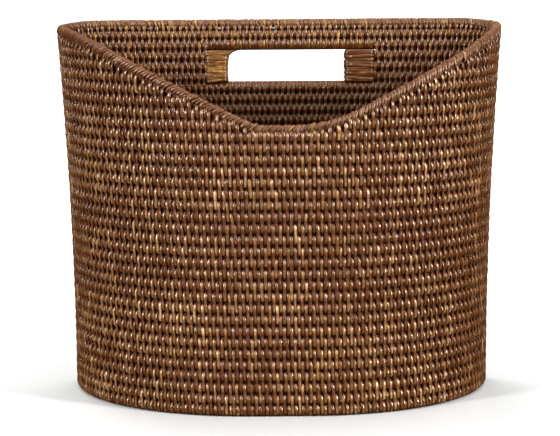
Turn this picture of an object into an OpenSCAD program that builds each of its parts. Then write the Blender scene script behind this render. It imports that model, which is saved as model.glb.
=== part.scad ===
// Wicker log basket: coiled rattan rods bound row to row with cane strips.
// Flat back with a hand slot, rounded front, and a rim that swoops down to a low front.
// The base outline is a rectangle with two large front corners and two small back
// corners, all quarter circles. Higher rows are the same outline, offset outwards.

/* [Basket] */
// Width across the sides at the base
base_w = 424; // [410:2:450]
// Depth from front to back at the base
base_d = 212; // [190:2:230]
// Outside radius of the two back corners at the base
corner_r = 28; // [24:1:40]
// How far the back of the rim leans out past the base
flare = 15; // [0:1:20]

/* [Coiled wall] */
// Height of one coiled row, and the thickness of the wall
row_pitch = 11; // [10.5:0.5:12]
// Rows in the back wall under the rim
wall_rows = 33; // [32:1:36]
// Thickness of a core rod
rod_d = 8.6; // [8:0.1:9]
// Room between a rod and the weave around it
rod_play = 0.1; // [0.05:0.05:0.2]

/* [Rim] */
// Thickness of the bound rim at the back
rim_d = 10; // [9:0.5:12]
// Thickness of the bound rim at the lowest point of the dip
rim_front_d = 7; // [6.5:0.5:10]
// Thickness of the strip that binds the rim
rim_strip_t = 0.9; // [0.7:0.1:1.2]
// Rows left whole under the lowest point of the rim
dip_rows = 25; // [22:1:26]
// Radius of the bend on the right of the dip
dip_r = 150; // [100:5:180]
// Radius of the tighter bend on the left, which leaves the bottom of the dip flat beside it
dip_left_r = 45; // [35:5:150]
// Slope of the rim on each side of the dip
rim_slope = 26; // [23:0.2:27]
// Drop of the rim from the back wall to the widest point of each side
shoulder_drop = 3; // [1:0.5:8]
// How far to the right of the middle the dip sits
dip_shift = 12; // [0:1:14]

/* [Hand slot] */
// Clear width of the hand slot
slot_w = 120; // [100:5:140]
// Rows that the hand slot interrupts
slot_rows = 3; // [3:1:4]
// Whole rows between the hand slot and the rim
rows_over_slot = 2; // [2:1:3]
// How far to the right of the middle the hand slot sits
slot_shift = 7; // [0:1:12]
// Width of the binding at the left end of the slot
left_binding_w = 24; // [20:1:40]
// Width of the binding at the right end of the slot
right_binding_w = 32; // [20:1:40]
// How far a slot binding stands proud of each face of the wall
binding_proud = 0.8; // [0.4:0.2:1.2]

/* [Hidden] */
$fn = 48;
weave_color = [0.42, 0.26, 0.15];
rod_color = [0.22, 0.14, 0.09];
rim_color = [0.48, 0.3, 0.17];
slot_binding_color = [0.6, 0.36, 0.17];

wall_t = row_pitch;
mid = wall_t / 2;
skin = (wall_t - rod_d) / 2 - rod_play;
channel_d = rod_d + 2 * rod_play;
joint_gap = 0.1;
seat_gap = 0.2;
reach = 400;

rim_r = rim_d / 2;
rim_core_r = rim_r - rim_strip_t;
rim_front_r = rim_front_d / 2;
wall_top = wall_rows * row_pitch;
top_z = wall_top + rim_r;
height = wall_top + rim_d;
dip_z = row_z(dip_rows) + rod_d / 2 + seat_gap + rim_core_r * rim_front_r / rim_r;
shoulder_z = top_z - shoulder_drop;
ease_from = 170;
profile_step = wall_top / 6;

slot_low_row = wall_rows - rows_over_slot - slot_rows + 1;
slot_z0 = (slot_low_row - 1) * row_pitch;
slot_z1 = slot_z0 + slot_rows * row_pitch;
slot_x0 = slot_shift - slot_w / 2;
slot_x1 = slot_shift + slot_w / 2;

// The outline's four arc centres share one y. The y origin is the middle of the finished basket.
front_r = base_d - corner_r;
front_cx = base_w / 2 - front_r;
corner_cx = base_w / 2 - corner_r;
centre_shift = (flare_at(wall_top) - flare_at(dip_rows * row_pitch)) / 2;
arc_cy = base_d / 2 - corner_r - centre_shift;
rim_half_w = base_w / 2 + flare_at(shoulder_z) - mid;

two_digits = ["0", ""];
function row_name(k) = str("wall_rod_", two_digits[k < 10 ? 0 : 1], k);

// Outward lean of the outer face at a height: nothing at the base, the full flare at the top.
// It is rounded to a hundredth of a millimetre, so that a rod's stretches meet exactly.
function flare_at(z) = round(100 * flare * pow(z / height, 2)) / 100;
function row_z(k) = (k - 0.5) * row_pitch;

// ---- Rim line ----

// Radius of the bound rim where its centre is at a height: it thickens from the dip to the back.
function rim_r_at(z) =
    rim_front_r + (rim_r - rim_front_r) * min(1, max(0, (z - dip_z) / (top_z - dip_z)));

// Height of the rim's centre at a distance u from the middle of the dip.
// The bottom is flat for flat_u to the left, and both slopes start from the same corner points.
bend_u = dip_r * sin(rim_slope);
left_bend_u = dip_left_r * sin(rim_slope);
flat_u = (dip_r - dip_left_r) * tan(rim_slope / 2);
function dip_line(u) =
    let (
        r = u < 0 ? dip_left_r : dip_r,
        v = u < 0 ? max(0, -u - flat_u) : u,
        bend = r * sin(rim_slope)
    )
    v < bend
        ? dip_z + r - sqrt(r * r - v * v)
        : dip_z + r * (1 - cos(rim_slope)) + (v - bend) * tan(rim_slope);

// Past ease_from the line eases so that both sides reach the same shoulder height.
function front_rim_z(x) =
    let (
        side_u = (x < 0 ? -rim_half_w : rim_half_w) - dip_shift,
        ease = max(0, abs(x) - ease_from) / (rim_half_w - ease_from)
    )
    dip_line(x - dip_shift) - (dip_line(side_u) - shoulder_z) * ease * ease;

// Rise from the shoulder to the back of the rim, t from 0 at the side to 1 at the back.
function corner_rim_z(t) = shoulder_z + shoulder_drop * t * t * (3 - 2 * t);

function front_rim_slope(x) = front_rim_z(x + 0.5) - front_rim_z(x - 0.5);

// A point of the front rim line, moved down square to the line by the rim's radius and a gap.
function below_rim(x, gap) =
    let (
        s = front_rim_slope(x),
        n = sqrt(1 + s * s),
        z = front_rim_z(x),
        d = rim_r_at(z) + gap
    )
    [x + d * s / n, z - d / n];

// The same for a height on the back rim line.
function under_back_rim(z, gap) = z - rim_r_at(z) - gap;

far_x = base_w / 2 + flare + 14;
front_line_x = concat(
    [for (x = [-far_x : 8 : -ease_from]) x],
    [for (i = [7 : -1 : 0]) dip_shift - flat_u - left_bend_u * i / 7],
    [for (i = [0 : 7]) dip_shift + bend_u * i / 7],
    [for (x = [ease_from : 8 : far_x]) x]
);

// Everything over the wall in front of the arc centres.
module above_front_rim(gap) {
    line = [for (x = front_line_x) below_rim(x, gap)];
    lid = [[far_x, height + reach], [-far_x, height + reach]];
    translate([0, arc_cy, 0])
        rotate([90, 0, 0])
            linear_extrude(reach)
                polygon(concat(line, lid));
}

// Everything over the wall behind the arc centres.
module above_back_rim(gap) {
    r = corner_r + flare_at(top_z) - mid;
    right = [
        for (a = [0 : 10 : 90])
            [corner_cx + r * cos(a), under_back_rim(corner_rim_z(a / 90), gap)]
    ];
    left = [for (i = [len(right) - 1 : -1 : 0]) [-right[i].x, right[i].y]];
    side_z = under_back_rim(shoulder_z, gap);
    start = [[far_x, height + reach], [far_x, side_z]];
    end = [[-far_x, side_z], [-far_x, height + reach]];
    translate([0, arc_cy + reach, 0])
        rotate([90, 0, 0])
            linear_extrude(reach)
                polygon(concat(start, right, left, end));
}

// ---- Wall section ----

// Section of the wall: x is the distance from the base outline, y the height. One hole per rod.
module wall_section(rows, top) {
    heights = concat([for (z = [0 : profile_step : top - 1]) z], [top]);
    outer = [for (z = heights) [flare_at(z), z]];
    inner = [for (i = [len(heights) - 1 : -1 : 0]) [flare_at(heights[i]) - wall_t, heights[i]]];
    difference() {
        polygon(concat(outer, inner));
        for (k = [1 : rows])
            translate([flare_at(row_z(k)) - mid, row_z(k)])
                circle(d = channel_d);
    }
}

// Quarter turn of the wall about an arc centre, from the angle start.
module wall_quarter(cx, r, start, rows, top) {
    translate([cx, arc_cy, 0])
        rotate_extrude(angle = 90, start = start, $fn = 144)
            translate([r, 0])
                wall_section(rows, top);
}

// Straight wall along x, centred; side is 1 for the back and -1 for the front.
module wall_straight(length, r, side, rows, top) {
    translate([-side * length / 2, arc_cy + side * r, 0])
        rotate([90, 0, side * 90])
            linear_extrude(length)
                wall_section(rows, top);
}

// ---- Core rods of the wall ----

// Height that a rod's centre has to keep under the rim's centre at z, on a slope of dz over dx.
function rod_headroom(z, slope) =
    (rim_r_at(z) + seat_gap + rod_d / 2) * sqrt(1 + slope * slope);
function rod_r(r, k) = r + flare_at(row_z(k)) - mid;

// First angle, from -90 at the front to 0 at the side, where row k has room under the rim.
// side is 1 for the right and -1 for the left.
function front_end(k, side, a = -90) =
    let (x = side * (front_cx + rod_r(front_r, k) * cos(a)), z = front_rim_z(x))
    a >= 0 ? 0
        : z - row_z(k) >= rod_headroom(z, front_rim_slope(x)) ? a
        : front_end(k, side, a + 0.5);

// The same round a back corner, from 0 at the side to 90 at the back.
function corner_end(k, a = 0) =
    let (z = corner_rim_z(a / 90))
    z - row_z(k) >= rod_headroom(z, 0) ? a : corner_end(k, a + 1);

module rod_arc(cx, r, start, angle, k) {
    translate([cx, arc_cy, row_z(k)])
        rotate_extrude(angle = angle, start = start, $fn = 144)
            translate([rod_r(r, k), 0])
                circle(d = rod_d);
}

module rod_straight(x0, x1, r, side, k) {
    translate([x0, arc_cy + side * rod_r(r, k), row_z(k)])
        rotate([0, 90, 0])
            cylinder(d = rod_d, h = x1 - x0);
}

// The slot's rods stop inside the bindings, a skin's thickness short of the opening.
module rod_back(k) {
    if (k >= slot_low_row && k < slot_low_row + slot_rows) {
        rod_straight(-corner_cx, slot_x0 - skin, corner_r, 1, k);
        rod_straight(slot_x1 + skin, corner_cx, corner_r, 1, k);
    } else {
        rod_straight(-corner_cx, corner_cx, corner_r, 1, k);
    }
}

// One core rod: a whole loop up to the dip, then a loop that ends under the rim on each side.
module wall_rod(k) {
    whole = k <= dip_rows;
    right = whole ? -90 : front_end(k, 1);
    left = whole ? -90 : front_end(k, -1);
    corner = corner_end(k);
    color(rod_color) {
        if (whole)
            rod_straight(-front_cx, front_cx, front_r, -1, k);
        if (corner == 0) {
            rod_arc(front_cx, front_r, 360 + right, -right, k);
            rod_arc(-front_cx, front_r, 180, -left, k);
        }
        rod_arc(corner_cx, corner_r, corner, 90 - corner, k);
        rod_arc(-corner_cx, corner_r, 90, 90 - corner, k);
        rod_back(k);
    }
}

// ---- Weave of the wall ----

module front_weave() {
    rows = dip_rows + 2;
    color(weave_color)
        difference() {
            wall_straight(2 * (front_cx - joint_gap), front_r, -1, rows, rows * row_pitch);
            above_front_rim(seat_gap);
        }
}

module side_weave(cx, start) {
    color(weave_color)
        difference() {
            wall_quarter(cx, front_r, start, wall_rows, wall_top);
            above_front_rim(seat_gap);
        }
}

module corner_weave(cx, start) {
    color(weave_color)
        difference() {
            wall_quarter(cx, corner_r, start, wall_rows, wall_top);
            above_back_rim(seat_gap);
        }
}

module back_weave() {
    x0 = slot_x0 - left_binding_w - joint_gap;
    x1 = slot_x1 + right_binding_w + joint_gap;
    color(weave_color)
        difference() {
            wall_straight(2 * (corner_cx - joint_gap), corner_r, 1, wall_rows, wall_top - seat_gap);
            translate([x0, 0, slot_z0])
                cube([x1 - x0, reach, slot_z1 - slot_z0]);
        }
}

// Strips wound round the ends of the rods at one end of the slot, from x0 to x1.
module slot_binding(x0, x1, rods_from, rods_to) {
    z0 = slot_z0 + seat_gap;
    z1 = slot_z1 - seat_gap;
    outer = [for (z = [z0, z1]) [flare_at(z) + binding_proud, z]];
    inner = [for (z = [z1, z0]) [flare_at(z) - wall_t - binding_proud, z]];
    color(slot_binding_color)
        difference() {
            translate([x0, arc_cy + corner_r, 0])
                rotate([90, 0, 90])
                    linear_extrude(x1 - x0)
                        polygon(concat(outer, inner));
            for (k = [slot_low_row : slot_low_row + slot_rows - 1])
                translate([rods_from, arc_cy + corner_r + flare_at(row_z(k)) - mid, row_z(k)])
                    rotate([0, 90, 0])
                        cylinder(d = channel_d, h = rods_to - rods_from);
        }
}

module slot_binding_left() {
    x0 = slot_x0 - left_binding_w;
    slot_binding(x0, slot_x0, x0 - 1, slot_x0 - skin + rod_play);
}

module slot_binding_right() {
    x1 = slot_x1 + right_binding_w;
    slot_binding(slot_x1, x1, slot_x1 + skin - rod_play, x1 + 1);
}

// ---- Base ----

// Clearance of the base panel to the wall's inner face.
base_inset = wall_t + seat_gap;

module half_disc(cx, r, side) {
    intersection() {
        translate([cx, arc_cy])
            circle(r = r, $fn = 144);
        translate([cx - r - 1, side > 0 ? arc_cy : arc_cy - r - 1])
            square([2 * r + 2, r + 1]);
    }
}

module base_outline(inset) {
    big = front_r - inset;
    small = corner_r - inset;
    half_disc(front_cx, big, -1);
    half_disc(-front_cx, big, -1);
    translate([-front_cx, arc_cy - big])
        square([2 * front_cx, big]);
    half_disc(corner_cx, small, 1);
    half_disc(-corner_cx, small, 1);
    translate([-corner_cx, arc_cy])
        square([2 * corner_cx, small]);
}

// Half width of the base outline at a height y, for a given inset.
function outline_half_w(y, inset) =
    let (
        v = y - arc_cy,
        r = v < 0 ? front_r - inset : corner_r - inset,
        cx = v < 0 ? front_cx : corner_cx
    )
    cx + sqrt(max(0, r * r - v * v));

base_y0 = arc_cy - front_r + base_inset;
base_y1 = arc_cy + corner_r - base_inset;
base_rod_count = floor((base_y1 - base_y0 - 2 * skin) / row_pitch);
base_rod_y0 = (base_y0 + base_y1 - (base_rod_count - 1) * row_pitch) / 2;

// Straight rods side by side from left to right, each as long as the outline allows.
module base_rod_set(d, end_gap) {
    for (i = [0 : base_rod_count - 1]) {
        y = base_rod_y0 + i * row_pitch;
        near = outline_half_w(y - d / 2, base_inset + skin);
        far = outline_half_w(y + d / 2, base_inset + skin);
        half = min(near, far) - end_gap;
        translate([-half, y, row_pitch / 2])
            rotate([0, 90, 0])
                cylinder(d = d, h = 2 * half);
    }
}

module base_rods() {
    color(rod_color)
        base_rod_set(rod_d, seat_gap);
}

module base_weave() {
    color(weave_color)
        difference() {
            linear_extrude(row_pitch)
                base_outline(base_inset);
            base_rod_set(channel_d, 0);
        }
}

// ---- Rim ----

// Stations round the outline, each [arc centre x, radius at the base, angle, rise],
// where rise is 0 to 1 round a back corner, 1 along the back and -1 along the front.
side_steps = 30;
corner_steps = 8;
back_steps = 12;
front_steps = 14;
rim_stations = concat(
    [for (i = [0 : front_steps - 1]) [front_cx * (2 * i / front_steps - 1), front_r, -90, -1]],
    [for (i = [0 : side_steps - 1]) [front_cx, front_r, -90 + 90 * i / side_steps, -1]],
    [for (i = [0 : corner_steps - 1]) [corner_cx, corner_r, 90 * i / corner_steps, i / corner_steps]],
    [for (i = [0 : back_steps - 1]) [corner_cx * (1 - 2 * i / back_steps), corner_r, 90, 1]],
    [for (i = [0 : corner_steps - 1])
        [-corner_cx, corner_r, 90 + 90 * i / corner_steps, 1 - i / corner_steps]],
    [for (i = [0 : side_steps - 1]) [-front_cx, front_r, 180 + 90 * i / side_steps, -1]]
);

// The rim's centre at a station. Its height sets the flare, so a few passes settle both.
function rim_point(s, z, passes) =
    let (
        r = s[1] + flare_at(z) - mid,
        x = s[0] + r * cos(s[2]),
        y = arc_cy + r * sin(s[2]),
        next = s[3] < 0 ? front_rim_z(x) : corner_rim_z(s[3])
    )
    passes == 0 ? [x, y, z] : rim_point(s, next, passes - 1);

rim_line = [for (s = rim_stations) rim_point(s, top_z, 5)];

// Closed tube along the rim: section is a list of [distance outwards, distance up] at the
// back, and it shrinks with the rim's radius towards the dip.
module rim_sweep(section) {
    n = len(rim_line);
    m = len(section);
    points = [
        for (i = [0 : n - 1])
            let (
                ahead = rim_line[(i + 1) % n] - rim_line[(i + n - 1) % n],
                along = ahead / norm(ahead),
                out = [cos(rim_stations[i][2]), sin(rim_stations[i][2]), 0],
                up = cross(out, along) / norm(cross(out, along)),
                size = rim_r_at(rim_line[i].z) / rim_r
            )
            for (p = section) rim_line[i] + size * (p.x * out + p.y * up)
    ];
    faces = [
        for (i = [0 : n - 1])
            for (j = [0 : m - 1])
                let (
                    a = i * m + j,
                    b = i * m + (j + 1) % m,
                    c = ((i + 1) % n) * m + (j + 1) % m,
                    d = ((i + 1) % n) * m + j
                )
                for (tri = [[a, b, c], [a, c, d]]) tri
    ];
    polyhedron(points, faces);
}

rim_sides = 10;

module rim_rod() {
    r = rim_core_r - rod_play;
    color(rod_color)
        rim_sweep([for (j = [0 : rim_sides - 1]) r * [cos(36 * j + 18), sin(36 * j + 18)]]);
}

// The binding wraps the rim rod and is open below, where its strips go down into the wall.
module rim_binding() {
    angles = [for (j = [0 : rim_sides - 2]) -54 + 36 * j];
    outer = [for (a = angles) rim_r * [cos(a), sin(a)]];
    inner = [for (i = [len(angles) - 1 : -1 : 0]) rim_core_r * [cos(angles[i]), sin(angles[i])]];
    color(rim_color)
        rim_sweep(concat(outer, inner));
}

base_weave();
base_rods();
for (k = [1 : wall_rows])
    wall_rod(k);
front_weave();
side_weave(-front_cx, 180);  // left_side_weave
side_weave(front_cx, 270);  // right_side_weave
corner_weave(-corner_cx, 90);  // left_corner_weave
corner_weave(corner_cx, 0);  // right_corner_weave
back_weave();
slot_binding_left();
slot_binding_right();
rim_rod();
rim_binding();
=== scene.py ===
import math

import bpy
import numpy as np
from mathutils import Matrix, Vector


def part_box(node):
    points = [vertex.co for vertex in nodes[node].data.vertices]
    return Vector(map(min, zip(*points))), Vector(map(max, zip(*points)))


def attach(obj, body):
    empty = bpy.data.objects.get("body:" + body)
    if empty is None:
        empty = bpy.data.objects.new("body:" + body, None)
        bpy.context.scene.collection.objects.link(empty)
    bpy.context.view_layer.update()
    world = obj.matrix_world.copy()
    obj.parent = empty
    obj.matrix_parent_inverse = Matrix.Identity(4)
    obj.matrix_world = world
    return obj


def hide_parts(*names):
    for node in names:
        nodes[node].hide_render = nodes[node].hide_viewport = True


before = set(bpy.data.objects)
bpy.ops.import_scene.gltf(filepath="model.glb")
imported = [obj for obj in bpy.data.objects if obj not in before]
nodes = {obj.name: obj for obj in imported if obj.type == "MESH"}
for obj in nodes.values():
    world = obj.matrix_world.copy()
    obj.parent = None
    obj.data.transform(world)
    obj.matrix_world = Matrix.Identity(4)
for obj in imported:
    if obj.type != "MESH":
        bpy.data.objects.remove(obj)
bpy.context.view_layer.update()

# Wicker log basket: the woven strips, the wound rim and the slot's bindings, built strip by
# strip round the rods of the CAD frame. Lengths are in millimetres until a mesh is made.


rng = np.random.default_rng(11)

# ---- The basket's sizes ----
PITCH = 11.0  # height of a row
ROWS = 33
MID = 5.5  # from the wall's outer face to its middle
ROD_R = 4.3
FRONT_R, FRONT_CX = 184.0, 28.0  # the outer face at the floor, front arcs and back corners
CORNER_R, CORNER_CX = 28.0, 184.0
HALF_W = FRONT_R + FRONT_CX
FLARE, HEIGHT = 15.0, 373.0  # how far the wall leans out by its full height
RIM_R, RIM_FRONT_R = 5.0, 3.5  # the bound rim at the back and at the dip
DIP_R, DIP_LEFT_R, RIM_SLOPE, DIP_SHIFT = 150.0, 45.0, math.radians(26.0), 12.0
DIP_Z, TOP_Z, SHOULDER_Z = 276.87, 368.0, 365.0  # the rim's centre: dip, back, back corners
EASE_FROM = 170.0  # where the rim starts to level out towards the corners
SLOT_ROW, SLOT_ROWS = 29, 3
SLOT_X0, SLOT_X1 = -53.0, 67.0
BINDING_X0, BINDING_X1 = -77.0, 99.0


def flare_at(z):
    return FLARE * (np.asarray(z, float) / HEIGHT) ** 2


# The arc centres' y, measured off the lowest rod, which is a plain loop.
_, rod_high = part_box("wall_rod_01")
ARC_Y = 1000 * rod_high.y - ROD_R - (CORNER_R - MID)


def outline_length(z):
    """Length of the wall's middle line at height z."""
    lean = flare_at(z)
    return (2 * FRONT_CX + math.pi * (FRONT_R + lean - MID)
            + math.pi * (CORNER_R + lean - MID) + 2 * CORNER_CX)


def outline(u, z):
    """The wall's middle line at height z and fraction u round from the front middle.

    Returns x, y, the outward direction and the rise: -1 on the front, then 0 to 1 round a
    back corner and 1 along the back.
    """
    lean = flare_at(z)
    rf, rc = FRONT_R + lean - MID, CORNER_R + lean - MID
    total = outline_length(z)
    s = np.mod(u, 1.0) * total
    left = s > total / 2
    q = np.where(left, total - s, s)
    a = FRONT_CX
    b = a + rf * math.pi / 2
    c = b + rc * math.pi / 2
    t_front = np.clip((q - a) / rf, 0, math.pi / 2) - math.pi / 2
    t_corner = np.clip((q - b) / rc, 0, math.pi / 2)
    on_front = q < b
    on_corner = (q >= b) & (q < c)
    x = np.where(on_front, np.minimum(q, a) + rf * np.cos(t_front),
                 CORNER_CX + rc * np.cos(t_corner) - np.maximum(q - c, 0))
    y = np.where(on_front, ARC_Y + rf * np.sin(t_front), ARC_Y + rc * np.sin(t_corner))
    nx = np.where(on_front, np.cos(t_front), np.cos(t_corner))
    ny = np.where(on_front, np.sin(t_front), np.sin(t_corner))
    rise = np.where(on_front, -1.0, np.where(on_corner, t_corner / (math.pi / 2), 1.0))
    sign = np.where(left, -1.0, 1.0)
    return x * sign, y, nx * sign, ny, rise


# ---- The rim line ----
RIM_HALF_W = HALF_W + float(flare_at(SHOULDER_Z)) - MID
FLAT_U = (DIP_R - DIP_LEFT_R) * math.tan(RIM_SLOPE / 2)


def dip_line(u):
    """Height of the rim's centre at u from the right bend's foot: flat to its left, then a bend."""
    u = np.asarray(u, float)
    r = np.where(u < 0, DIP_LEFT_R, DIP_R)
    v = np.where(u < 0, np.maximum(-u - FLAT_U, 0), u)
    bend = r * math.sin(RIM_SLOPE)
    low = DIP_Z + r - np.sqrt(r ** 2 - np.minimum(v, bend) ** 2)
    return low + np.maximum(v - bend, 0) * math.tan(RIM_SLOPE)


def front_rim_z(x):
    side = np.where(x < 0, -RIM_HALF_W, RIM_HALF_W) - DIP_SHIFT
    ease = np.maximum(0, np.abs(x) - EASE_FROM) / (RIM_HALF_W - EASE_FROM)
    return dip_line(x - DIP_SHIFT) - (dip_line(side) - SHOULDER_Z) * ease ** 2


def rim_z(x, rise):
    t = np.clip(rise, 0, 1)
    back = SHOULDER_Z + (TOP_Z - SHOULDER_Z) * t * t * (3 - 2 * t)
    return np.where(rise < 0, front_rim_z(x), back)


def rim_r_at(z):
    share = np.clip((z - DIP_Z) / (TOP_Z - DIP_Z), 0, 1)
    return RIM_FRONT_R + (RIM_R - RIM_FRONT_R) * share


def rim_underside(u, z):
    """Height of the bound rim's underside over the wall at u."""
    x, y, nx, ny, rise = outline(u, z)
    centre = rim_z(x, rise)
    slope = np.where(rise < 0, (front_rim_z(x + 0.5) - front_rim_z(x - 0.5)) * np.abs(ny), 0)
    return centre - rim_r_at(centre) * np.sqrt(1 + slope ** 2)


# ---- Meshes ----
def add_mesh(name, points, quads, values, material, stands_for=()):
    """A smooth quad mesh from arrays, in millimetres, riding on the basket.

    Points that would be under the floor are moved up onto it.
    """
    points[:, 2] = np.maximum(points[:, 2], 0.0)
    mesh = bpy.data.meshes.new(name)
    mesh.vertices.add(len(points))
    mesh.vertices.foreach_set("co", (points / 1000).astype(np.float32).ravel())
    mesh.loops.add(quads.size)
    mesh.loops.foreach_set("vertex_index", quads.astype(np.int32).ravel())
    mesh.polygons.add(len(quads))
    mesh.polygons.foreach_set("loop_start", np.arange(0, quads.size, 4, dtype=np.int32))
    mesh.update(calc_edges=True)
    mesh.polygons.foreach_set("use_smooth", np.ones(len(quads), bool))
    for key, data in values.items():
        kind = "FLOAT_VECTOR" if data.ndim == 2 else "FLOAT"
        layer = mesh.attributes.new(key, kind, "POINT")
        layer.data.foreach_set("vector" if data.ndim == 2 else "value",
                               data.astype(np.float32).ravel())
    mesh.materials.append(material)
    piece = bpy.data.objects.new(name, mesh)
    bpy.context.scene.collection.objects.link(piece)
    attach(piece, "root")
    if stands_for:
        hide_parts(*stands_for)
    return piece


# Strands take seeds from 0 to SEED_SPREAD, each far from its neighbours' seeds.
GOLDEN_SHARE, SEED_SPREAD = 0.618, 40

# Section of a strip: across, from -1 to 1, and out, in thicknesses.
SECTION = np.array([
    (-1, -0.5), (1, -0.5), (0.97, 0.06), (0.68, 0.38), (0, 0.5), (-0.68, 0.38), (-0.97, 0.06),
])
SIDES = len(SECTION)


def loop_quads(stations):
    """Faces of one closed loop of strip."""
    j = np.arange(stations)[:, None] * SIDES
    i = np.arange(SIDES)[None, :]
    ahead = (np.roll(np.arange(stations), -1)[:, None]) * SIDES
    ring = np.stack([j + i, ahead + i, ahead + (i + 1) % SIDES, j + (i + 1) % SIDES], -1)
    return ring.reshape(-1, 4)


def facing_out(points, quads):
    """A loop's quads, turned over if its volume comes out negative."""
    a, b, c, d = (points[quads[:, i]] for i in range(4))
    volume = (np.einsum("ij,ij->i", a, np.cross(b, c)) + np.einsum("ij,ij->i", a, np.cross(c, d))).sum()
    return quads if volume > 0 else quads[:, ::-1]


def all_points(data, shape):
    """A value for each loop or station, spread over every point of the loops."""
    return np.broadcast_to(data, shape).reshape(-1)


def strand_place(across, along, count, shape):
    """Each point's place on its own strand, with a different third value for each strand."""
    seed = (np.arange(count) * GOLDEN_SHARE % 1)[:, None, None] * SEED_SPREAD
    return np.stack([np.broadcast_to(v, shape) for v in (across, along, seed)], -1).reshape(-1, 3)


# A loop's stations: up the outside, round the top rod, down the inside and round the low rod.
STRAIGHT, ROUND = 6, 8
LOOP_ANGLES = np.concatenate([
    [0] * STRAIGHT, np.linspace(0, 180, ROUND + 1)[:-1],
    [180] * STRAIGHT, np.linspace(180, 360, ROUND + 1)[:-1],
])
LOOP_RUN = np.concatenate([
    np.linspace(0, 1, STRAIGHT + 1)[:-1], [1] * ROUND,
    np.linspace(1, 0, STRAIGHT + 1)[:-1], [0] * ROUND,
])
INNER_DRAW, OUTER_DRAW = 0.22, 0.06  # how much shorter a loop is on the inside and the outside
LEAST_RUN = 0.6  # the least height between a loop's round ends
TUCK_PROUD = 0.3
DIMPLE_DEPTH, DIMPLE_REACH = 0.5, 2.4  # a strip sinks between its two rods
BOW_SPREAD, TWIST_SPREAD = 0.4, 0.13
WIDTH_MIDDLE, WIDTH_SWELL, WIDTH_TUCK = 0.76, 0.50, 2.1
DARKEST_SHADE = 0.48  # the darkest painted shade inside the wall, where the outside is 1


def strip_loops(place, up, lateral, low, high, radius, width, slant, thick, tone, gold, inside_shade):
    """Flat strips, each a closed loop round one or two rods.

    place(lateral, height) gives a point, the outward direction and the sideways one. low and
    high are the heights of the loop's round ends and slant moves its top sideways. The last
    argument is painted shade: how much lighter the inside is than the outside, darker when
    below zero. Returns the points, one loop's faces, the number of loops, the stations of
    each and the values for the material.
    """
    angle = np.radians(LOOP_ANGLES)[None, :]
    run = LOOP_RUN[None, :]
    n, m = len(lateral), angle.shape[1]
    low, high, width, slant, tone, gold, inside_shade = (
        np.asarray(v, float)[:, None] for v in (low, high, width, slant, tone, gold, inside_shade))
    inside = np.maximum(0, -np.cos(angle))
    # Painted shade: the inside faces' tone is shifted by the given amount.
    tone = tone + inside_shade * inside
    high = np.maximum(high, low + LEAST_RUN)
    middle, half = (low + high) / 2, (high - low) / 2 + radius
    tucked = 1 - np.abs(np.cos(angle))
    h = low + (high - low) * run + (radius + TUCK_PROUD * tucked) * np.sin(angle)
    h = middle + (h - middle) * (1 - INNER_DRAW * inside - OUTER_DRAW * np.maximum(0, np.cos(angle)))
    far = np.clip(np.abs(h - middle) / half, 0, 1)
    dimple = DIMPLE_DEPTH * ((high - low) / PITCH) ** 2
    sunk = dimple * np.exp(-((h - middle) / DIMPLE_REACH) ** 2)
    out = (radius - sunk) * np.cos(angle)
    side = slant * (h - middle) / PITCH + rng.normal(0, BOW_SPREAD, (n, 1)) * (1 - far ** 2)
    on_inside = inside * (1.2 * far * (1 - far) - 0.10)
    w = width * (WIDTH_MIDDLE + WIDTH_SWELL * far - WIDTH_SWELL * far ** 2 + on_inside
                 + WIDTH_TUCK * tucked ** 4)
    centre, normal, across = place(lateral[:, None] + 0 * h, h)
    ahead_h = np.roll(h, -1, 1) - np.roll(h, 1, 1)
    ahead_out = np.roll(out, -1, 1) - np.roll(out, 1, 1)
    size = np.hypot(ahead_h, ahead_out) + 1e-9
    face = normal * (ahead_h / size)[..., None] - up * (ahead_out / size)[..., None]
    twist = rng.normal(0, TWIST_SPREAD, (n, 1, 1)) * (1 - tucked)[..., None]
    face, flat = (face * np.cos(twist) + across * np.sin(twist),
                  across * np.cos(twist) - face * np.sin(twist))
    a = SECTION[:, 0][None, None, :, None]
    b = SECTION[:, 1][None, None, :, None]
    core = centre + normal * out[..., None] + across * side[..., None]
    points = (core[:, :, None] + flat[:, :, None] * (a * w[..., None, None] / 2)
              + face[:, :, None] * (b * thick))
    length = np.cumsum(size, 1) / 2
    lacquer = np.clip(1 - inside * (0.35 - 1.8 * inside_shade), 0.1, 1) * (1 - tucked) ** 1.5
    # Painted shade: the inside faces' colour is multiplied down, most where they are darkest.
    shade = np.clip(1 - inside * (0.20 - inside_shade), DARKEST_SHADE, 1)
    shape = (n, m, SIDES)
    values = {
        "strip_co": strand_place(a[..., 0], length[..., None], n, shape),
        "strip_tone": all_points(tone[..., None], shape),
        "strip_gold": all_points((gold + 0.3 * inside)[..., None], shape).clip(0, 1),
        "strip_end": all_points(far[..., None], shape),
        "strip_coat": all_points(lacquer[..., None], shape),
        "strip_shade": all_points(shade[..., None], shape),
    }
    points = points.reshape(-1, 3)
    return points, facing_out(points[: m * SIDES], loop_quads(m)), n, m, values


def add_strips(name, parts, material, stands_for=()):
    """One piece from several sets of loops."""
    points, quads, values, start = [], [], {}, 0
    for p, ring, n, m, v in parts:
        starts = start + np.arange(n)[:, None, None] * (m * SIDES)
        points.append(p)
        quads.append((ring[None] + starts).reshape(-1, 4))
        for key in v:
            values.setdefault(key, []).append(v[key])
        start += len(p)
    joined = {key: np.concatenate(v) for key, v in values.items()}
    return add_mesh(name, np.concatenate(points), np.concatenate(quads), joined,
                    material, stands_for)


# ---- Materials ----
def new_material(name):
    material = bpy.data.materials.new(name)
    material.use_nodes = True
    tree = material.node_tree
    tree.nodes.clear()
    output = tree.nodes.new("ShaderNodeOutputMaterial")
    shader = tree.nodes.new("ShaderNodeBsdfPrincipled")
    tree.links.new(shader.outputs[0], output.inputs["Surface"])
    return material, tree, shader


def attribute(tree, name):
    node = tree.nodes.new("ShaderNodeAttribute")
    node.attribute_name = name
    return node


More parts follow.
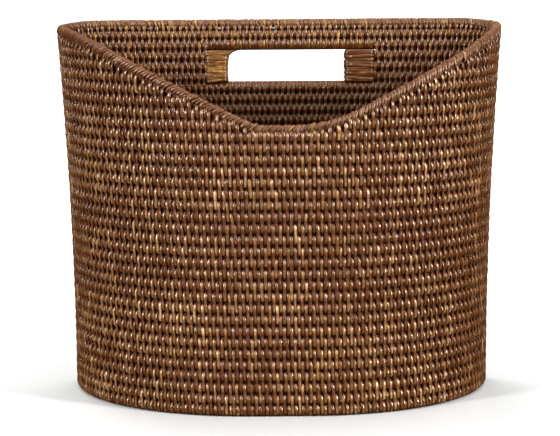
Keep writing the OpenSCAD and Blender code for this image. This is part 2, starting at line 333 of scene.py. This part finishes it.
def maths(tree, operation, a, b=None, clamp=False):
    node = tree.nodes.new("ShaderNodeMath")
    node.operation = operation
    node.use_clamp = clamp
    for socket, value in zip(node.inputs, (a, b)):
        if value is None:
            continue
        if isinstance(value, (int, float)):
            socket.default_value = value
        else:
            tree.links.new(value, socket)
    return node.outputs[0]


def noise(tree, vector, scale, detail=2.0, roughness=0.5):
    node = tree.nodes.new("ShaderNodeTexNoise")
    node.inputs["Scale"].default_value = scale
    node.inputs["Detail"].default_value = detail
    node.inputs["Roughness"].default_value = roughness
    tree.links.new(vector, node.inputs["Vector"])
    return node.outputs[0]


def ramp(tree, factor, stops):
    node = tree.nodes.new("ShaderNodeValToRGB")
    elements = node.color_ramp.elements
    while len(elements) > 1:
        elements.remove(elements[-1])
    for i, (at, colour) in enumerate(stops):
        e = elements[0] if i == 0 else elements.new(at)
        e.position = at
        e.color = (*colour, 1)
    tree.links.new(factor, node.inputs[0])
    return node.outputs[0]


def smooth_range(tree, value, from_low, from_high, to_low, to_high):
    node = tree.nodes.new("ShaderNodeMapRange")
    node.interpolation_type = "SMOOTHSTEP"
    tree.links.new(value, node.inputs[0])
    for i, v in enumerate((from_low, from_high, to_low, to_high)):
        node.inputs[i + 1].default_value = v
    return node.outputs[0]


def scaled(tree, vector, scale):
    node = tree.nodes.new("ShaderNodeMapping")
    node.inputs["Scale"].default_value = scale
    tree.links.new(vector, node.inputs["Vector"])
    return node.outputs[0]


STAIN_TINT = (1.0, 0.77, 0.52, 1)
# Base colours of plain and of worn cane, from the darkest level to the lightest.
WALNUT = [
    (0.0, (0.046, 0.0110, 0.0022)), (0.25, (0.052, 0.0150, 0.0038)), (0.45, (0.070, 0.0258, 0.0094)),
    (0.65, (0.108, 0.0485, 0.0200)), (0.82, (0.172, 0.0875, 0.0425)), (1.0, (0.29, 0.175, 0.102)),
]
GOLDEN = [
    (0.0, (0.048, 0.0120, 0.0018)), (0.25, (0.056, 0.0180, 0.0030)), (0.45, (0.078, 0.0320, 0.0060)),
    (0.65, (0.126, 0.0560, 0.0100)), (0.82, (0.190, 0.0980, 0.0280)), (1.0, (0.30, 0.185, 0.075)),
]
# What the colour is multiplied by: painted shade, darker and more amber, from the darkest inside of the wall
# to the outside.
SHADE_TINT = [(DARKEST_SHADE, (0.44, 0.34, 0.12)), (0.75, (0.84, 0.67, 0.26)), (1.0, (1.0, 1.0, 1.0))]


def mixed(tree, factor, a, b):
    node = tree.nodes.new("ShaderNodeMix")
    node.data_type = "RGBA"
    tree.links.new(factor, node.inputs[0])
    tree.links.new(a, node.inputs[6])
    tree.links.new(b, node.inputs[7])
    return node.outputs[2]


def added(tree, level, value, weight, centre=0.5):
    """level plus weight times how far value is above centre."""
    above = maths(tree, "SUBTRACT", value, centre)
    return maths(tree, "ADD", level, maths(tree, "MULTIPLY", above, weight))


def cane_material(name, shift, rough, coat, coat_rough=0.26):
    """Stained cane: a tone for each strip, fibres, gloss lacquer and painted light: a highlight line down the
    middles, shade at the ends, sides and crossings, and a darker, more amber shade inside.
    """
    material, tree, shader = new_material(name)
    co = attribute(tree, "strip_co").outputs["Vector"]
    tone = attribute(tree, "strip_tone").outputs["Fac"]
    gold = attribute(tree, "strip_gold").outputs["Fac"]
    end = attribute(tree, "strip_end").outputs["Fac"]
    place = tree.nodes.new("ShaderNodeTexCoord").outputs["Object"]
    across = tree.nodes.new("ShaderNodeSeparateXYZ")
    tree.links.new(co, across.inputs[0])
    edge = maths(tree, "POWER", maths(tree, "ABSOLUTE", across.outputs[0]), 2.5)
    fibre = noise(tree, scaled(tree, co, (3.2, 0.07, 1.0)), 1.0, 3.0, 0.6)
    blotch = noise(tree, scaled(tree, co, (0.5, 0.12, 1.0)), 1.0, 2.0)
    patch = noise(tree, place, 14.0, 3.0)
    fleck = noise(tree, place, 75.0, 2.0)
    level = maths(tree, "ADD", tone, shift)
    for grain, weight in ((fibre, 0.8), (blotch, 0.6), (fleck, 0.5), (patch, 0.45)):
        level = added(tree, level, grain, weight)
    # Painted shade: darker towards each strip's ends, where they turn into the holes between the rods.
    painted_hole_shade = smooth_range(tree, end, 0.76, 0.93, 0.0, -0.6)
    # Painted shade along each strip's sides, where its rounded face turns away and meets its neighbours.
    level = maths(tree, "ADD", level, maths(tree, "MULTIPLY", edge, -0.30))
    # Painted highlight: a lighter line down the middle of the strips, in patches along them.
    from_edge = maths(tree, "SUBTRACT", 1.0, maths(tree, "ABSOLUTE", across.outputs[0]))
    spine = maths(tree, "POWER", from_edge, 1.6)
    painted_highlight = maths(tree, "MAXIMUM", maths(tree, "SUBTRACT", blotch, 0.47), 0.0)
    level = maths(tree, "ADD", level, maths(tree, "MULTIPLY", maths(tree, "MULTIPLY", spine, painted_highlight), 1.5))
    # Painted shade: darker where a strip crosses between its two rods, among its neighbours' ends.
    painted_crossing_shade = maths(tree, "MULTIPLY", maths(tree, "POWER", maths(tree, "SUBTRACT", 1.0, end), 3.0), -0.24)
    level = maths(tree, "ADD", level, painted_crossing_shade)
    level = maths(tree, "ADD", level, painted_hole_shade, clamp=True)
    colour = mixed(tree, gold, ramp(tree, level, WALNUT), ramp(tree, level, GOLDEN))
    shaded = tree.nodes.new("ShaderNodeVectorMath")
    shaded.operation = "MULTIPLY"
    tree.links.new(colour, shaded.inputs[0])
    tree.links.new(ramp(tree, attribute(tree, "strip_shade").outputs["Fac"], SHADE_TINT), shaded.inputs[1])
    tree.links.new(shaded.outputs[0], shader.inputs["Base Color"])
    gloss = maths(tree, "ADD", rough - 0.10, maths(tree, "MULTIPLY", blotch, 0.22))
    gloss = maths(tree, "ADD", gloss, smooth_range(tree, end, 0.84, 0.97, 0.0, 0.4))
    tree.links.new(gloss, shader.inputs["Roughness"])
    tree.links.new(maths(tree, "MULTIPLY", attribute(tree, "strip_coat").outputs["Fac"], coat),
                   shader.inputs["Coat Weight"])
    shader.inputs["Coat Roughness"].default_value = coat_rough
    shader.inputs["Specular IOR Level"].default_value = 0.35
    shader.inputs["Specular Tint"].default_value = STAIN_TINT
    bump = tree.nodes.new("ShaderNodeBump")
    bump.inputs["Strength"].default_value = 0.5
    bump.inputs["Distance"].default_value = 0.0004
    tree.links.new(fibre, bump.inputs["Height"])
    tree.links.new(bump.outputs[0], shader.inputs["Normal"])
    return material


def rod_material(name):
    """Dark stained rod: long grain round the rod's length and a soft gloss."""
    material, tree, shader = new_material(name)
    place = tree.nodes.new("ShaderNodeTexCoord").outputs["Object"]
    grain = noise(tree, scaled(tree, place, (60, 60, 900)), 1.0, 3.0, 0.6)
    patch = noise(tree, place, 30.0, 2.0)
    level = maths(tree, "ADD", maths(tree, "MULTIPLY", grain, 0.6), maths(tree, "MULTIPLY", patch, 0.4))
    colour = ramp(tree, level, [(0.3, (0.030, 0.0062, 0.0012)), (0.55, (0.046, 0.0110, 0.0024)),
                                (0.75, (0.072, 0.0210, 0.0052))])
    tree.links.new(colour, shader.inputs["Base Color"])
    shader.inputs["Roughness"].default_value = 0.42
    shader.inputs["Specular IOR Level"].default_value = 0.25
    shader.inputs["Specular Tint"].default_value = STAIN_TINT
    bump = tree.nodes.new("ShaderNodeBump")
    bump.inputs["Strength"].default_value = 0.3
    bump.inputs["Distance"].default_value = 0.0002
    tree.links.new(grain, bump.inputs["Height"])
    tree.links.new(bump.outputs[0], shader.inputs["Normal"])
    return material


wall_cane = cane_material("wall_cane", 0.0, 0.38, 0.85, 0.12)
base_cane = cane_material("base_cane", -0.04, 0.45, 0.3)
rim_cane = cane_material("rim_cane", -0.02, 0.50, 0.45)
slot_cane = cane_material("slot_cane", 0.0, 0.45, 0.35)
dark_rod = rod_material("dark_rod")

# ---- Weave of the wall ----
FRONT_STRIPS, BACK_STRIPS = 80, 78
STRIPS = FRONT_STRIPS + BACK_STRIPS
SIDE_SPREAD = 0.10  # how much wider the front's strips are at its sides than on average
STRIP_T = 1.15
LOOP_R = ROD_R + STRIP_T / 2
UNDER_RIM, UNDER_BACK_RIM = 1.0, 5.4  # how far strips run up into the rim
LOOP_CUT = 2.5  # a loop cut shorter than this under the rim is left out
BINDING_LAP = 1.2  # how far the slot's bindings lap over the strips beside them
BACK_FROM_Y = 40  # cane farther back than this counts as the back
UP = np.array([0.0, 0.0, 1.0])


def strip_places(z, shift):
    """Fractions round the wall of a row's strips, and the length that each takes up."""
    total = float(outline_length(z))
    front = FRONT_CX + (FRONT_R + float(flare_at(z)) - MID) * math.pi / 2
    index = np.mod(np.arange(STRIPS) + shift, STRIPS)
    half = np.where(index > STRIPS / 2, STRIPS - index, index)
    v = half / (FRONT_STRIPS / 2)
    on_front = v < 1
    ahead = front * (v - SIDE_SPREAD * np.sin(math.pi * v) / math.pi)
    behind = front + (half - FRONT_STRIPS / 2) / (BACK_STRIPS / 2) * (total / 2 - front)
    length = np.where(on_front, front * (1 - SIDE_SPREAD * np.cos(math.pi * v)) / (FRONT_STRIPS / 2),
                      (total / 2 - front) / (BACK_STRIPS / 2))
    u = np.where(on_front, ahead, behind) / total
    return np.where(index > STRIPS / 2, 1 - u, u), length


def wall_place(u, z):
    """The wall's middle at u and z, with its outward and sideways directions."""
    x, y, nx, ny, _ = outline(u, z)
    centre = np.stack([x, y, z], -1)
    zero = np.zeros_like(nx)
    return centre, np.stack([nx, ny, zero], -1), np.stack([-ny, nx, zero], -1)


def golden(x, y, z):
    """How worn and golden the cane is: patches low on the left and right, and all the back."""
    low_left = 0.4 * np.exp(-((x + 125) / 75) ** 2 - ((z - 75) / 70) ** 2) * (y < BACK_FROM_Y)
    low_right = 0.5 * np.exp(-((x - 60) / 60) ** 2 - ((z - 60) / 50) ** 2) * (y < BACK_FROM_Y)
    back = (y > BACK_FROM_Y) * 1.0
    return np.clip(low_left + low_right + back, 0, 1)


def wall_row(k):
    """Strips centred on the line between rods k and k + 1, with any that the rim or slot cuts."""
    z = k * PITCH
    length = float(outline_length(z))
    u, pitch = strip_places(z, 0.5 * (k % 2))
    jitter = rng.normal(0, 0.16, STRIPS)
    width = pitch / 2 * rng.normal(1, 0.07, STRIPS)
    slant = -0.15 - 0.35 * (1 - z / HEIGHT) + rng.normal(0, 0.25, STRIPS)
    tone = rng.beta(2.2, 2.6, STRIPS)
    x, y, _, _, rise = outline(u, z)
    run = sum(np.sin(2 * math.pi * (c * u + rng.random())) for c in (3, 7, 16)) / 3
    worn = golden(x, y, z)
    gold = np.clip(0.34 + 0.30 * worn + rng.normal(0, 0.12, STRIPS), 0, 1)
    # Painted shade on the inside of the wall, deepening lower down towards the dip, where the front wall
    # keeps the light off.
    inside_shade = -0.15 * np.clip((345 - z) / 60, 0, 1) - 0.20 * np.clip((325 - z) / 45, 0, 1) - 0.04 + 0 * x
    tone = (0.19 + 0.60 * tone + 0.08 * worn * np.where(y > BACK_FROM_Y, -0.4, 1) + 0.09 * run
            + rng.normal(0, 0.05))
    u = u + jitter / length
    low = np.full(STRIPS, (k - 0.5) * PITCH)
    high = np.full(STRIPS, (k + 0.5) * PITCH)
    if k == 0:
        low = high.copy()
    highest = rim_underside(u, z) + UNDER_RIM + UNDER_BACK_RIM * np.clip(2 * rise, 0, 1) - LOOP_R
    keep = highest > low - LOOP_CUT
    high = np.maximum(np.minimum(high, highest), low)
    in_slot = ((y > 0) & (rise > 0.99) & (x > BINDING_X0 + BINDING_LAP)
               & (x < BINDING_X1 - BINDING_LAP))
    first, last = SLOT_ROW - 1, SLOT_ROW - 1 + SLOT_ROWS
    if k == first:
        high = np.where(in_slot, low, high)
    elif k == last:
        low = np.where(in_slot, high, low)
    elif first < k < last:
        keep &= ~in_slot
    sel = np.flatnonzero(keep)
    return strip_loops(wall_place, UP, u[sel], low[sel], high[sel], LOOP_R, width[sel],
                       slant[sel], STRIP_T, tone[sel], gold[sel], inside_shade[sel])


WALL_NODES = ("front_weave", "left_side_weave", "right_side_weave", "left_corner_weave",
              "right_corner_weave", "back_weave")
for k in range(ROWS + 1):
    add_strips(f"weave_row_{k:02d}", [wall_row(k)], wall_cane, WALL_NODES)

# ---- Wound rim ----
RIM_SAMPLES = 4001
samples = np.linspace(0, 1, RIM_SAMPLES)
line_z = np.full(len(samples), TOP_Z)
# The outline depends on the height and the rim's height on the outline, so a few passes settle both.
RIM_PASSES = 8
for _ in range(RIM_PASSES):
    lx, ly, lnx, lny, lrise = outline(samples, line_z)
    line_z = rim_z(lx, lrise)
line = np.stack([lx, ly, line_z], -1)
line_s = np.concatenate([[0], np.cumsum(np.linalg.norm(np.diff(line, axis=0), axis=1))])
RIM_LENGTH = line_s[-1]
tangent = np.gradient(line, axis=0)
tangent[0] = tangent[-1] = line[1] - line[-2]
tangent /= np.linalg.norm(tangent, axis=1)[:, None]
outward = np.stack([lnx, lny, 0 * lnx], -1)


def along_rim(s, table):
    s = np.mod(s, RIM_LENGTH)
    return np.stack([np.interp(s, line_s, table[:, i]) for i in range(3)], -1)


RIM_WRAP_STEP = 3.5
RIM_WRAP_T = 1.0
KNUCKLE_BELOW, KNUCKLE_REACH = 24, 18  # the knuckle's place on the rim's side, in degrees
LEG_DROP = 3.2  # how far a strip's leg reaches down to the wall


def rim_wraps():
    """Strips wound slantwise round the rim, with a knuckle low on each side and legs to the wall."""
    count = int(round(RIM_LENGTH / RIM_WRAP_STEP))
    m = 24
    s0 = (np.arange(count) + rng.normal(0, 0.10, count)) / count * RIM_LENGTH
    turn = 270 + np.arange(m) * 360 / m
    angle = np.radians(turn)[None, :]
    size = rim_r_at(along_rim(s0, line)[:, 2])[:, None]
    at_back = np.interp(s0, line_s, np.clip(lrise, 0, 1))
    proud = (rng.normal(0, 0.26, count) * (1 - 0.6 * at_back))[:, None]
    up_part, out_part = np.sin(angle), np.cos(angle)
    below = np.degrees(np.arcsin(up_part)) + KNUCKLE_BELOW
    bulge = np.abs(rng.normal(0.75, 0.45, count)) * (1 - 0.8 * at_back)
    knuckle = np.exp(-(below / KNUCKLE_REACH) ** 2) * bulge[:, None]
    r = size - RIM_WRAP_T / 2 + proud + knuckle
    leg = np.maximum(0, -up_part - 0.25) / 0.75
    o = r * out_part * (1 - 0.15 * leg)
    h = r * up_part - LEG_DROP * leg ** 2
    lean = ((3.4 + rng.normal(0, 0.7, count)) * (1 - 0.7 * at_back))[:, None] * up_part * size / RIM_R
    pinch = 1.0 - 0.25 * np.exp(-(below / 25) ** 2) + 0.25 * leg
    w = RIM_WRAP_STEP * rng.normal(1, 0.14, count)[:, None] * pinch
    a = SECTION[:, 0][None, None, :]
    b = SECTION[:, 1][None, None, :, None]
    s = s0[:, None, None] + lean[..., None] + a * w[..., None] / 2
    centre = along_rim(s, line)
    out_dir = along_rim(s, outward)
    t_dir = along_rim(s, tangent)
    up_dir = np.cross(out_dir, t_dir)
    up_dir /= np.linalg.norm(up_dir, axis=-1)[..., None]
    face = out_part[..., None, None] * out_dir + up_part[..., None, None] * up_dir
    points = centre + out_dir * o[..., None, None] + up_dir * h[..., None, None] + face * b * RIM_WRAP_T
    points = points.reshape(-1, 3)
    shape = (count, m, SIDES)
    tone = 0.12 + 0.60 * rng.beta(1.4, 1.7, count) + 0.09 * (np.arange(count) % 2) + 0.08 * at_back
    gold = np.clip(rng.normal(0.65, 0.25, count) + 0.3 * at_back, 0, 1)
    lacquer = 1 - 0.85 * np.maximum(0, up_part) + 0 * size
    values = {
        "strip_co": strand_place(a, (np.arange(m) * 1.7)[None, :, None], count, shape),
        "strip_tone": all_points(tone[:, None, None], shape),
        "strip_gold": all_points(gold[:, None, None], shape),
        # The legs running down to the wall get the painted shade of the strip ends.
        "strip_end": all_points(np.clip(2.2 * leg, 0, 1)[..., None], shape),
        "strip_coat": all_points(lacquer[..., None], shape),
        "strip_shade": np.ones(count * m * SIDES),
    }
    return points, facing_out(points[: m * SIDES], loop_quads(m)), count, m, values


add_strips("rim_wraps", [rim_wraps()], rim_cane, ("rim_binding",))

# ---- Bindings at the slot's ends ----
SLOT_Z0 = (SLOT_ROW - 1) * PITCH
SLOT_Z1 = SLOT_Z0 + SLOT_ROWS * PITCH
STRAND_T = 1.3
STRAND_TURN = 4.2  # the radius of a strand's turn round the rods' ends
# The bindings' own darker, more amber colour, given through the multiplier that carries the painted shade.
SLOT_SHADE = 0.84


def slot_strands(x0, x1, tones, gold_mean, open_side, count=13, rough=1.0, inset=0.0, corner=0.0):
    """Strands wound flat round the rods' ends, one over another, each a closed loop in plan.

    tones are the darkest and lightest strands, and open_side is +1 or -1 for the end that
    faces the opening, where the strands bunch into knuckles. rough scales how uneven they
    are, inset sinks the whole layer and corner rounds off the opening's top corner.
    """
    m = 40
    depth = MID + 1.0 - inset
    part = m // 4
    turn = np.linspace(0, math.pi, part + 1)
    run = np.linspace(0, 1, part + 1)
    xa, xb = x0 + inset + STRAND_TURN, x1 - inset - STRAND_TURN
    plan = np.concatenate([
        np.stack([xa + (xb - xa) * run[:-1], np.full(part, -depth)], -1),
        np.stack([xb + STRAND_TURN * np.sin(turn[:-1]), -depth * np.cos(turn[:-1])], -1),
        np.stack([xb + (xa - xb) * run[:-1], np.full(part, depth)], -1),
        np.stack([xa - STRAND_TURN * np.sin(turn[:-1]), depth * np.cos(turn[:-1])], -1),
    ])
    ahead = np.roll(plan, -1, 0) - np.roll(plan, 1, 0)
    normal = np.stack([ahead[:, 1], -ahead[:, 0]], -1)
    normal /= np.linalg.norm(normal, axis=1)[:, None]
    height = (SLOT_Z1 - SLOT_Z0 - 0.4) / count
    zc = SLOT_Z0 + 0.2 + height * (np.arange(count) + 0.5) + rng.normal(0, 0.25, count)
    phase = np.linspace(0, 2 * math.pi, m, endpoint=False)[None]
    wobble = (rng.normal(0, 0.55, (count, 1)) * np.sin(phase)
              + rng.normal(0, 0.35, (count, 1)) * np.cos(2 * phase))
    wobble *= rough
    w = height * 1.45 * rng.normal(1, 0.18, count)[:, None, None]
    edge = x1 if open_side > 0 else x0
    near = np.exp(-((plan[:, 0] - (edge - open_side * 4.0)) / 2.4) ** 2)[None, :, None]
    knuckle = rough * near * np.abs(rng.normal(0, 0.8, (count, 1, 1)))
    lift = (0.35 * rng.normal(0, 1, (count, 1, 1))
            + 0.25 * np.sin(phase * 3 + rng.uniform(0, 6, (count, 1)))[..., None])
    lift *= rough
    a = SECTION[:, 0][None, None, :]
    b = SECTION[:, 1][None, None, :]
    z = zc[:, None, None] + wobble[..., None] + a * w / 2
    z = np.clip(z, SLOT_Z0 + 0.1, SLOT_Z1 - 0.1)
    off = (b - 0.5) * STRAND_T + lift + knuckle
    x = plan[:, 0][None, :, None] + normal[:, 0][None, :, None] * np.minimum(off, 0.4 + 0 * off)
    if corner:
        t = np.clip((z - (SLOT_Z1 - 0.7 * corner)) / (0.7 * corner), 0, 1)
        from_far = plan[:, 0] - x0 if open_side > 0 else x1 - plan[:, 0]
        share = np.clip(from_far / (x1 - x0), 0, 1)
        x = x + open_side * corner * (1 - np.sqrt(1 - t ** 2)) * (share ** 3)[None, :, None]
    middle_y = ARC_Y + CORNER_R - MID + flare_at(z)
    y = middle_y + plan[:, 1][None, :, None] + normal[:, 1][None, :, None] * off
    points = np.stack(np.broadcast_arrays(x, y, z), -1).reshape(-1, 3)
    shape = (count, m, SIDES)
    tone = rng.uniform(*tones, count)
    gold = np.clip(gold_mean + rng.normal(0, 0.2, count), 0, 1)
    values = {
        "strip_co": strand_place(a, (np.arange(m) * 1.9)[None, :, None], count, shape),
        "strip_tone": all_points(tone[:, None, None], shape),
        "strip_gold": all_points(gold[:, None, None], shape),
        "strip_end": np.zeros(count * m * SIDES),
        "strip_coat": np.ones(count * m * SIDES),
        "strip_shade": np.full(count * m * SIDES, SLOT_SHADE),
    }
    return points, facing_out(points[: m * SIDES], loop_quads(m)), count, m, values


# Each end has its visible strands over a plain dark layer that closes the gaps between them; its dark tone is
# painted shade in those gaps.
add_strips("slot_strands_left", [
    slot_strands(BINDING_X0, SLOT_X0, (0.60, 0.98), 0.75, 1, corner=15.0),
    slot_strands(BINDING_X0, SLOT_X0, (0.1, 0.3), 0.5, 1, 5, 0.0, 1.3),
], slot_cane, ("slot_binding_left",))
add_strips("slot_strands_right", [
    slot_strands(SLOT_X1, BINDING_X1, (0.02, 0.74), 0.35, -1),
    slot_strands(SLOT_X1, BINDING_X1, (0.1, 0.3), 0.5, -1, 5, 0.0, 1.3),
], slot_cane, ("slot_binding_right",))

# ---- Weave of the base ----
BASE_INSET = 11.2
base_low, base_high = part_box("base_weave")
BASE_Y0, BASE_Y1 = 1000 * base_low.y, 1000 * base_high.y
BASE_SKIN = (PITCH - 2 * ROD_R) / 2 - 0.1
BASE_RODS = int((BASE_Y1 - BASE_Y0 - 2 * BASE_SKIN) // PITCH)
BASE_ROD_Y = (BASE_Y0 + BASE_Y1 - (BASE_RODS - 1) * PITCH) / 2


def base_half_w(y, inset):
    """Half the base's width at y."""
    v = y - ARC_Y
    r = (FRONT_R if v < 0 else CORNER_R) - inset
    cx = FRONT_CX if v < 0 else CORNER_CX
    return cx + math.sqrt(max(0.0, r * r - v * v))


def base_reach(x, inset):
    """Lowest and highest y of the base at each x."""
    front_r, corner_r = FRONT_R - inset, CORNER_R - inset
    front = np.sqrt(np.maximum(front_r ** 2 - np.maximum(np.abs(x) - FRONT_CX, 0) ** 2, 0))
    corner = np.sqrt(np.maximum(corner_r ** 2 - np.maximum(np.abs(x) - CORNER_CX, 0) ** 2, 0))
    return ARC_Y - front, ARC_Y + corner


def base_place(x, y):
    """The base's middle at x and y, with its downward and sideways directions."""
    centre = np.stack([x, y, np.full_like(x, PITCH / 2)], -1)
    down = np.zeros_like(centre)
    down[..., 2] = -1.0
    across = np.zeros_like(centre)
    across[..., 0] = 1.0
    return centre, down, across


BASE_UP = np.array([0.0, 1.0, 0.0])
BASE_STEP = 7.3
for i in range(BASE_RODS + 1):
    y_low = BASE_ROD_Y + (i - 1) * PITCH
    y_high = BASE_ROD_Y + i * PITCH
    if i == 0:
        y_low = y_high
    if i == BASE_RODS:
        y_high = y_low
    half = max(base_half_w(y_low - 2, BASE_INSET), base_half_w(y_high + 2, BASE_INSET)) - 1.5
    n = int(half * 2 / BASE_STEP)
    stagger = 0.25 if i % 2 else -0.25
    x = (np.arange(n) - (n - 1) / 2 + stagger) * BASE_STEP
    front_y, back_y = base_reach(x, BASE_INSET)
    low_y = np.maximum(y_low, front_y + LOOP_R)
    high_y = np.minimum(y_high, back_y - LOOP_R)
    fits = high_y > low_y - 3
    x, low_y, high_y = x[fits], low_y[fits], np.maximum(low_y, high_y)[fits]
    n = len(x)
    # The base's inside face gets a little painted shade, the last argument.
    part = strip_loops(base_place, BASE_UP, x + rng.normal(0, 0.15, n), low_y, high_y,
                       LOOP_R, BASE_STEP / 2 * rng.normal(1, 0.05, n), rng.normal(-0.4, 0.2, n), STRIP_T,
                       0.32 + 0.4 * rng.beta(2.2, 2.6, n), rng.uniform(0.1, 0.7, n), np.full(n, -0.1))
    add_strips(f"base_row_{i:02d}", [part], base_cane, ("base_weave",))

# ---- CAD rods keep their shape and get the dark rod material ----
for name, node in nodes.items():
    if name.startswith("wall_rod") or name in ("base_rods", "rim_rod"):
        for slot in node.material_slots:
            slot.material = dark_rod
        if not node.material_slots:
            node.data.materials.append(dark_rod)

# ---- Floor, light and camera ----
def stage_sheet():
    """Pale floor that curves up into a backdrop, well behind the basket."""
    depth = [-4.0, -1.5, -0.6, 0.0, 0.6, 1.5, 3.0]
    profile = [(y, 0.0) for y in depth]
    start, bend = 3.0, 1.5
    profile += [(start + bend * math.sin(t), bend - bend * math.cos(t))
                for t in np.linspace(0.15, math.pi / 2, 14)]
    profile += [(start + bend, 3.0), (start + bend, 6.0)]
    xs = [-6.0, -2.0, 0.0, 2.0, 6.0]
    below = 0.0002
    verts = [(x, y, z - below) for y, z in profile for x in xs]
    c = len(xs)
    faces = [(r * c + i, r * c + i + 1, (r + 1) * c + i + 1, (r + 1) * c + i)
             for r in range(len(profile) - 1) for i in range(c - 1)]
    mesh = bpy.data.meshes.new("studio_floor")
    mesh.from_pydata(verts, [], faces)
    for p in mesh.polygons:
        p.use_smooth = True
    floor = bpy.data.objects.new("studio_floor", mesh)
    bpy.context.scene.collection.objects.link(floor)
    material, tree, shader = new_material("studio_white")
    shader.inputs["Base Color"].default_value = (0.35, 0.35, 0.348, 1)
    shader.inputs["Roughness"].default_value = 0.25
    shader.inputs["Specular IOR Level"].default_value = 0.4
    mesh.materials.append(material)
    floor.visible_glossy = False


stage_sheet()

world = bpy.data.worlds.new("studio")
bpy.context.scene.world = world
world.use_nodes = True
world.node_tree.nodes["Background"].inputs["Color"].default_value = (1, 1, 1, 1)
world.node_tree.nodes["Background"].inputs["Strength"].default_value = 0.48
world.cycles_visibility.glossy = False


def softbox(name, place, target, size, power):
    """A rectangular lamp at place, turned to face target."""
    light = bpy.data.lights.new(name, "AREA")
    light.shape = "RECTANGLE"
    light.size, light.size_y = size
    light.energy = power
    lamp = bpy.data.objects.new(name, light)
    bpy.context.scene.collection.objects.link(lamp)
    lamp.location = place
    lamp.rotation_euler = (Vector(target) - Vector(place)).to_track_quat("-Z", "Y").to_euler()
    return lamp


softbox("left", (-1.9, -1.5, 1.25), (0, 0, 0.2), (0.34, 1.9), 146)
softbox("right", (2.0, -1.4, 1.25), (0, 0, 0.2), (0.34, 1.9), 188)


def overhead(name, energy, spread, tilt):
    """A broad light from above, with its spread and its tilt in degrees."""
    light = bpy.data.lights.new(name, "SUN")
    light.energy = energy
    light.angle = math.radians(spread)
    lamp = bpy.data.objects.new(name, light)
    bpy.context.scene.collection.objects.link(lamp)
    lamp.rotation_euler = (math.radians(tilt), 0, 0)
    return lamp


overhead("over", 2.2, 30, 10)
overhead("over_behind", 2.0, 22, -14).visible_glossy = False
softbox("behind", (-1.1, 2.2, 1.5), (0, 0, 0.2), (1.4, 1.0), 70).visible_glossy = False
softbox("backdrop", (0, 1.6, 2.6), (0, 4.0, 0.6), (4.0, 2.0), 520)

# The photo's viewpoint: metres, radians, and the focal length against a frame 560 wide.
CAMERA_X, CAMERA_Z, CAMERA_Y = -0.00039, 0.44294, -2.1429
CAMERA_YAW, CAMERA_PITCH, CAMERA_ROLL = -0.00073, 0.12278, 0.00703
FOCAL_PX, FRAME_PX, SENSOR = 2165.9, 560, 36
data = bpy.data.cameras.new("camera")
data.sensor_width = SENSOR
data.lens = FOCAL_PX * SENSOR / FRAME_PX
data.clip_end = 50
camera = bpy.data.objects.new("camera", data)
bpy.context.scene.collection.objects.link(camera)
camera.matrix_world = (
    Matrix.Rotation(-CAMERA_YAW, 4, "Z")
    @ Matrix.Translation((CAMERA_X, CAMERA_Y, CAMERA_Z))
    @ Matrix.Rotation(math.pi / 2 - CAMERA_PITCH, 4, "X")
    @ Matrix.Rotation(-CAMERA_ROLL, 4, "Z")
)
bpy.context.scene.camera = camera
bpy.context.scene.view_settings.view_transform = "Standard"
